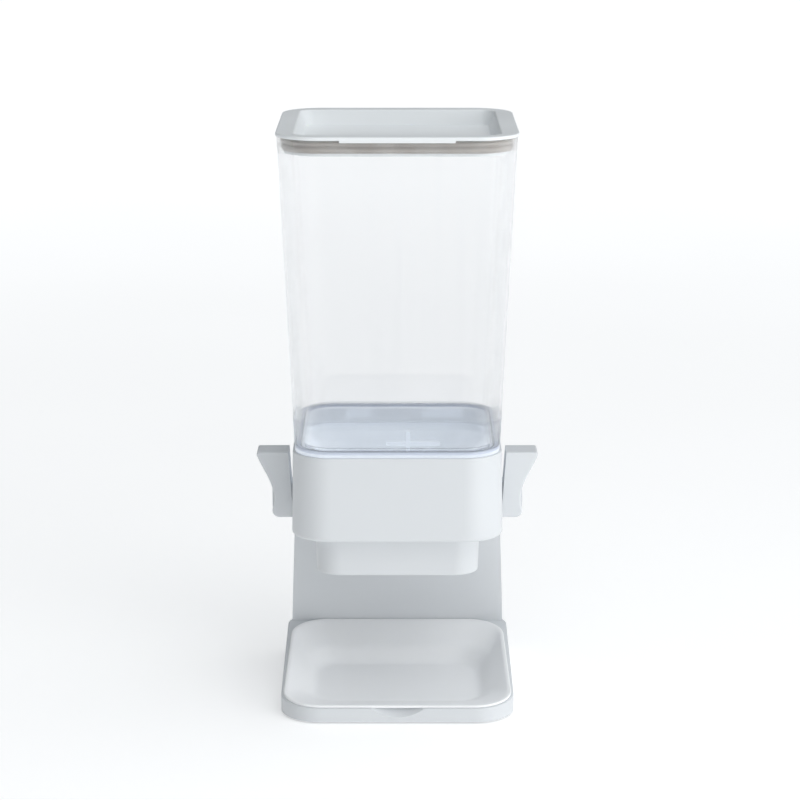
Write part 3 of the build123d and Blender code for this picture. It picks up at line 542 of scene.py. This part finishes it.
# %% Funnel
FUNNEL_WALL = 2.0
FLUTE_COUNT = 7
FLUTE_DEPTH = 0.35 * MM
funnel_foot = float(funnel_low[2]) / MM
funnel_bend = funnel_top - 19.0
throat_bend = funnel_foot + 13.7
THROAT_HALF = 37.0
THROAT_WALL = 1.8
THROAT_RADIUS = 6.0
RIM_GAP = 1.6
RIM_DEPTH = 4.0
RIM_RADIUS = 26.4
SIDE_GAP = 4.0
SIDE_RADIUS = 24.0
TAB_HEIGHT = 6.4
TABS = ((-29.5, 19.0), (34.5, 31.0))
RIB_X = 37.5


def fluted(points):
    """Push points along their turn by depth * fade * |2 turn_x turn_y| * cos(count * 4 * angle)."""
    _, _, turn_x, turn_y = PATH.T
    angle = np.arctan2(turn_y, turn_x)
    height = points[:, :, 2] / MM
    share = np.clip((height - throat_bend) / (funnel_bend - throat_bend), 0, 1)
    fade = np.sin(np.pi * share)
    wave = FLUTE_DEPTH * fade * np.abs(2 * turn_x * turn_y) * np.cos(FLUTE_COUNT * 4 * angle)
    points[:, :, 0] += wave * turn_x
    points[:, :, 1] += wave * turn_y
    return points


def make_funnel():
    rim_x, rim_y = (half - RIM_GAP for half in casing_half)
    out_x, out_y = (half - SIDE_GAP for half in casing_half)
    throat = THROAT_HALF + THROAT_WALL
    top, ledge = funnel_top, funnel_top - RIM_DEPTH
    in_x, in_y, in_radius = out_x - FUNNEL_WALL, out_y - FUNNEL_WALL, SIDE_RADIUS - FUNNEL_WALL
    rows = [row(rim_x, rim_y, RIM_RADIUS, top, 0.9), row(rim_x, rim_y, RIM_RADIUS, ledge, 0.4),
            row(out_x, out_y, SIDE_RADIUS, ledge, 0.3),
            row(out_x, out_y, SIDE_RADIUS, funnel_bend, 2.5),
            row(throat, throat, THROAT_RADIUS, throat_bend, 2.0),
            row(throat, throat, THROAT_RADIUS, funnel_foot, 0.5),
            row(THROAT_HALF, THROAT_HALF, THROAT_RADIUS, funnel_foot, 0.5),
            row(THROAT_HALF, THROAT_HALF, THROAT_RADIUS, throat_bend, 2.0),
            row(in_x, in_y, in_radius, funnel_bend, 2.5), row(in_x, in_y, in_radius, top, 0.9)]
    surfaces = [(fluted(carried(softened(rows, True, run=7))), True)]
    for x, width in TABS:
        surfaces.append(block(width / 2, 0.55, 0.5, ledge - 0.1 - TAB_HEIGHT, ledge - 0.1, 0.4,
                              x, out_y + 0.6))
    for x in (-RIB_X, RIB_X):
        surfaces.append(block(0.7, 0.5, 0.4, funnel_bend + 1, ledge - 0.5, 0.3, x, out_y + 0.45))
    moulding("funnel_bowl", surfaces, clear_funnel, "root", "funnel")


make_funnel()

# %% [markdown]
# ## The lid and its seal
# The lid is a flat cap with a sunk pan in the middle and a plug below it, all one wall about
# 2 mm thick. The profile starts in the middle of the pan, climbs its wall, goes over the rim,
# under it, round the plug, and back to the middle of the underside. The seal is a loop of its
# own, with two rounded ribs that press on the hopper's wall. A small raised dot in the pan is
# where the plastic was fed into the mould.

# %% Lid
lid_low, lid_high = (np.array(corner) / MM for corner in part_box("lid"))
LID_FLANGE = 2.4
LID_RADIUS = 30.0
PAN_HALF = 72.0
PAN_DEPTH = 11.0
PAN_SLOPE = 4.5
PAN_RADIUS = 10.0
LID_WALL = 1.8
PLUG_HALF = 79.17
PLUG_RADIUS = 24.5
PLUG_WALL = 2.0


def make_lid():
    half, top, foot = lid_high[0], lid_high[2], lid_low[2]
    floor_half, pan_low = PAN_HALF - PAN_SLOPE, top - PAN_DEPTH
    under, flange = pan_low - LID_WALL, top - LID_FLANGE

    def ring(size, radius, z, soft):
        return row(size, size, radius, z, soft)
    bore, bore_radius = PLUG_HALF - PLUG_WALL, PLUG_RADIUS - PLUG_WALL
    floor_radius = PAN_RADIUS - PAN_SLOPE
    rows = [row(3, 3, 3, pan_low), ring(floor_half, floor_radius, pan_low, 1.0),
            ring(PAN_HALF, PAN_RADIUS, top, 0.9), ring(half, LID_RADIUS, top, 1.1),
            ring(half, LID_RADIUS, flange, 0.5), ring(PLUG_HALF, PLUG_RADIUS, flange, 0.4),
            ring(PLUG_HALF, PLUG_RADIUS, foot, 0.6), ring(bore, bore_radius, foot, 0.6),
            ring(bore, bore_radius, flange, 0.5),
            ring(PAN_HALF + 1, PAN_RADIUS + LID_WALL, flange, 0.5),
            ring(floor_half + LID_WALL, floor_radius + LID_WALL, under, 1.0), row(3, 3, 3, under)]
    surfaces = [(carried(softened(rows, False)), False)]
    surfaces.append(block(1.1, 1.1, 1.1, pan_low - 0.3, pan_low + 0.3, 0.15, 0.0, 0.0))
    surfaces.append(block(40, 0.45, 0.4, flange - 1.6, flange + 0.4, 0.3, 0.0, 0.5 - half))
    moulding("lid_cap", surfaces, white_lid, "lid", "lid")


def make_seal():
    top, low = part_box("lid_gasket")[1][2] / MM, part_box("lid_gasket")[0][2] / MM
    base, rib = PLUG_HALF + 0.8, PLUG_HALF + 1.9
    step = (top - low) / 16

    def ring(half, z, soft):
        return row(half, half, PLUG_RADIUS + half - PLUG_HALF, z, soft)
    rows = [ring(base, top, 0.3), ring(base, top - step, 0.3)]
    for level in (top - 4 * step, low + 4 * step):
        rows += [ring(rib, level + 1.8 * step, 0.7), ring(rib, level - 1.6 * step, 0.7),
                 ring(base, level - 2.3 * step, 0.3)]
        rows += [ring(base, level - 3.6 * step, 0.3)] if level > (top + low) / 2 else []
    rows += [ring(base, low, 0.3), ring(PLUG_HALF + 0.05, low, 0.2), ring(PLUG_HALF + 0.05, top, 0.2)]
    moulding("lid_seal", [(carried(softened(rows, True, run=2)), True)], seal_finish, "lid",
             "lid_gasket")


make_lid()
make_seal()

# %% [markdown]
# ## The tray
# A loose dish that lies on the sloping base. Its rim follows the slope, so those rows have a
# tilt, while the bed is level. Between the two a low step goes round the bed and rises towards
# the back. The plan narrows a little towards the back, which the narrow column gives.

# %% Tray
tray_low, tray_high = (np.array(corner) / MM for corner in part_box("tray"))
TRAY_LIP = 1.8
TRAY_RIM = 2.6
TRAY_RADIUS = 27.7
SLOPE = 14.3 / 170.0
TRAY_HALF_X = 82.5
TRAY_NARROWING = 1.2
BASE_FRONT_HEIGHT = 11.7
BASE_HALF = 85
TRAY_WALL = 1.8
BED = (61.0, 43.0, 18.0)
BED_Y = -14.0
BED_Z = 6.0
STEP = (69.0, 53.0, 23.0)
STEP_Y = -9.0
STEP_Z = 12.75
STEP_TILT = 0.052
UNDER_STEP = (66.8, 53.8, 23.8)
UNDER_STEP_Y = -10.0
UNDER_STEP_Z = 8.2
UNDER_TILT = 0.0385


def make_tray():
    half_y, mid_y = (tray_high[1] - tray_low[1]) / 2, (tray_high[1] + tray_low[1]) / 2
    narrow = TRAY_NARROWING / TRAY_HALF_X / half_y / MM
    rim_z = BASE_FRONT_HEIGHT + BASE_HALF * SLOPE + TRAY_LIP
    under, lip = BED_Z - TRAY_WALL, TRAY_LIP - 0.1

    def rim(inset, drop, soft):
        return row(TRAY_HALF_X - inset, half_y - inset, TRAY_RADIUS - inset, rim_z - drop, soft,
                   y=mid_y, tilt=SLOPE, narrow=narrow)

    def flat(shape, spread, z, soft, y, tilt=0.0):
        return row(shape[0] + spread, shape[1] + spread, shape[2] + spread, z, soft, y=y, tilt=tilt)
    rows = [row(3, 3, 3, BED_Z, y=BED_Y), flat(BED, 0, BED_Z, 4.0, BED_Y),
            flat(STEP, 0, STEP_Z, 3.0, STEP_Y, STEP_TILT),
            rim(TRAY_RIM, 0.2, 1.6), rim(0.1, 0.0, 0.8), rim(0.0, lip, 0.4), rim(3.4, lip, 0.4),
            flat(UNDER_STEP, 0, UNDER_STEP_Z, 3.0, UNDER_STEP_Y, UNDER_TILT),
            flat(BED, TRAY_WALL, under, 3.0, BED_Y), row(3, 3, 3, under, y=BED_Y)]
    moulding("tray_dish", [(carried(softened(rows, False, run=8)), False)], tray_white_painted_light, "tray",
             "tray")


make_tray()

# %% [markdown]
# ## The studio
# A white floor runs to the back of the picture, since the camera looks slightly down. The light
# is a pale dome, brightest overhead and stronger on the right than on the left, so that the left
# faces fall into a cool grey. A large soft box stands low on the right, and a weak one is up in
# front.

# %% Floor
FLOOR_HALF = 16.0
NEAR, FAR = 0.6, 3.0
FLOOR_GLOW = 0.40


def make_floor():
    """Square sheet that shines a little, more so far off, where the lamps don't reach it."""
    corners = FLOOR_HALF * np.array([(-1, -1, 0), (1, -1, 0), (1, 1, 0), (-1, 1, 0)])
    mesh = bpy.data.meshes.new("floor")
    mesh.from_pydata(corners.tolist(), [], [(0, 1, 2, 3)])
    floor = bpy.data.objects.new("floor", mesh)
    scene.collection.objects.link(floor)
    g = Graph("studio_floor")
    tone = g.blend(g.ramp(g.noise(1.5, 2.0), 0.3, 0.7), rgb(0.93, 0.93, 0.93), rgb(0.95, 0.95, 0.95))
    length = g.add("ShaderNodeVectorMath", {"operation": "LENGTH"}, {0: g.place})
    distance = Value(g, length.outputs["Value"])
    glow = g.blend(g.ramp(distance, NEAR, FAR), rgb(0.62, 0.62, 0.62), rgb(1.0, 1.0, 1.0))
    mesh.materials.append(g.surface(Base_Color=tone, Roughness=0.8, Emission_Color=glow,
                                    Emission_Strength=FLOOR_GLOW))


make_floor()


# %% Light
def make_world(level, side, front, up, least):
    """Dome of strength level + side * x - front * y + up * z, never under least."""
    world = bpy.data.worlds.new("dome")
    scene.world = world
    world.use_nodes = True
    sky = Nodes(world.node_tree)
    where = sky.add("ShaderNodeTexCoord").outputs["Generated"]
    across, along, above = (sky.axis(where, letter) for letter in "XYZ")
    strength = across * side - along * front + above * up + level
    shade = sky.add("ShaderNodeBackground", None, {
        "Color": rgb(0.955, 0.980, 1.0), "Strength": strength.at_least(least)})
    sky.add("ShaderNodeOutputWorld", None, {"Surface": shade.outputs[0]})


def soft_box(name, place, aim, width, height, power, colour):
    """Rectangular lamp at place, facing aim."""
    lamp = bpy.data.lights.new(name, "AREA")
    lamp.shape = "RECTANGLE"
    lamp.size = width
    lamp.size_y = height
    lamp.energy = power
    lamp.color = colour
    holder = bpy.data.objects.new(name, lamp)
    line = np.array(aim) - np.array(place)
    yaw = math.atan2(line[0], -line[1])
    fall = math.atan2(-line[2], math.hypot(line[0], line[1]))
    holder.location = place
    holder.rotation_euler = (math.pi / 2 - fall, 0.0, yaw + math.pi)
    scene.collection.objects.link(holder)


make_world(level=0.12, side=0.42, front=0.12, up=0.86, least=0.05)
middle = (0.0, 0.0, 0.18)
soft_box("key", (1.4, -1.2, 0.40), middle, 1.2, 1.0, 10.5, (1.0, 0.99, 0.98))
soft_box("top", (0.40, -1.25, 1.55), middle, 1.6, 1.2, 5.0, (1.0, 1.0, 1.0))
scene.view_settings.view_transform = "Standard"
scene.view_settings.look = "None"
